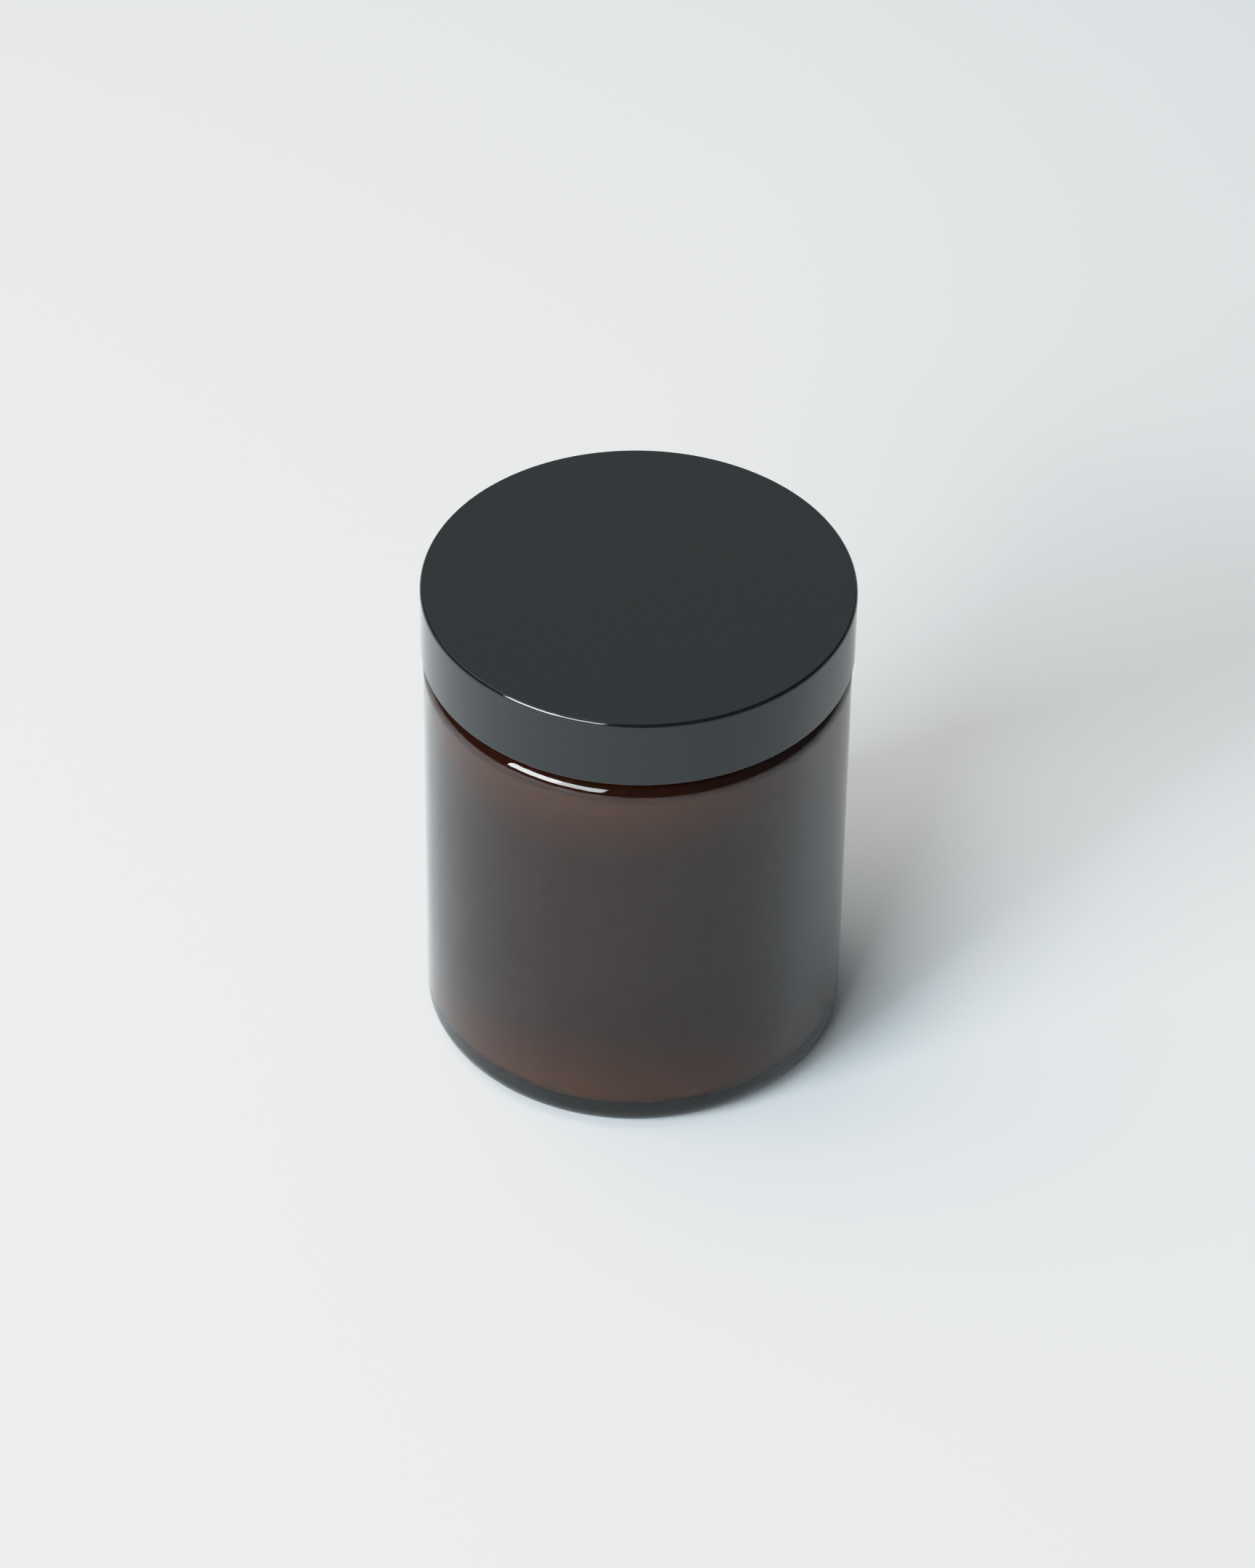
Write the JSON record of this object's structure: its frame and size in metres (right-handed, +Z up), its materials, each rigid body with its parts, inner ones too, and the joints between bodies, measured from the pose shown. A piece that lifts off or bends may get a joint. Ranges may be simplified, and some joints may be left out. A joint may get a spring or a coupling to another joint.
{
  "type": "cosmetic cream jar",
  "caption": "Straight-sided amber glass cream jar with a smooth black screw cap, foam liner, dished sealing disc and cream inside.",
  "frame": {"origin": "on the jar's axis, in the plane that the jar stands on", "axes": "+Z up along the jar's axis; +X and +Y are across it, and -Y is the side that faces the viewer"},
  "size_m": [0.073, 0.073, 0.0913],
  "materials": {
    "amber_glass": "clear, dark amber, glossy",
    "cream": "thick cosmetic cream, soft satin",
    "disc_plastic": "white moulded polypropylene, satin",
    "liner_foam": "expanded polyethylene foam, matt",
    "cap_plastic": "black moulded plastic, matt top and glossy side"
  },
  "bodies": {
    "jar": {"glass_jar": "amber_glass", "cream": "cream"},
    "seal": {"sealing_disc": "disc_plastic", "cap_liner": "liner_foam"},
    "cap": {"cap": "cap_plastic"}
  },
  "joints": [
    {"name": "cap_rise", "type": "slide", "parent": "jar", "child": "seal", "axis": [0, 0, 1], "range_m": [0, 0.02033]},
    {"name": "cap_turn", "type": "hinge", "parent": "seal", "child": "cap", "pos_m": [0, 0, 0.0784], "axis": [0, 0, 1], "range_deg": [0, 1440]}
  ],
  "couplings": [
    {"joint": "cap_rise", "follows": "cap_turn", "m_per_rad": 0.00080851}
  ]
}
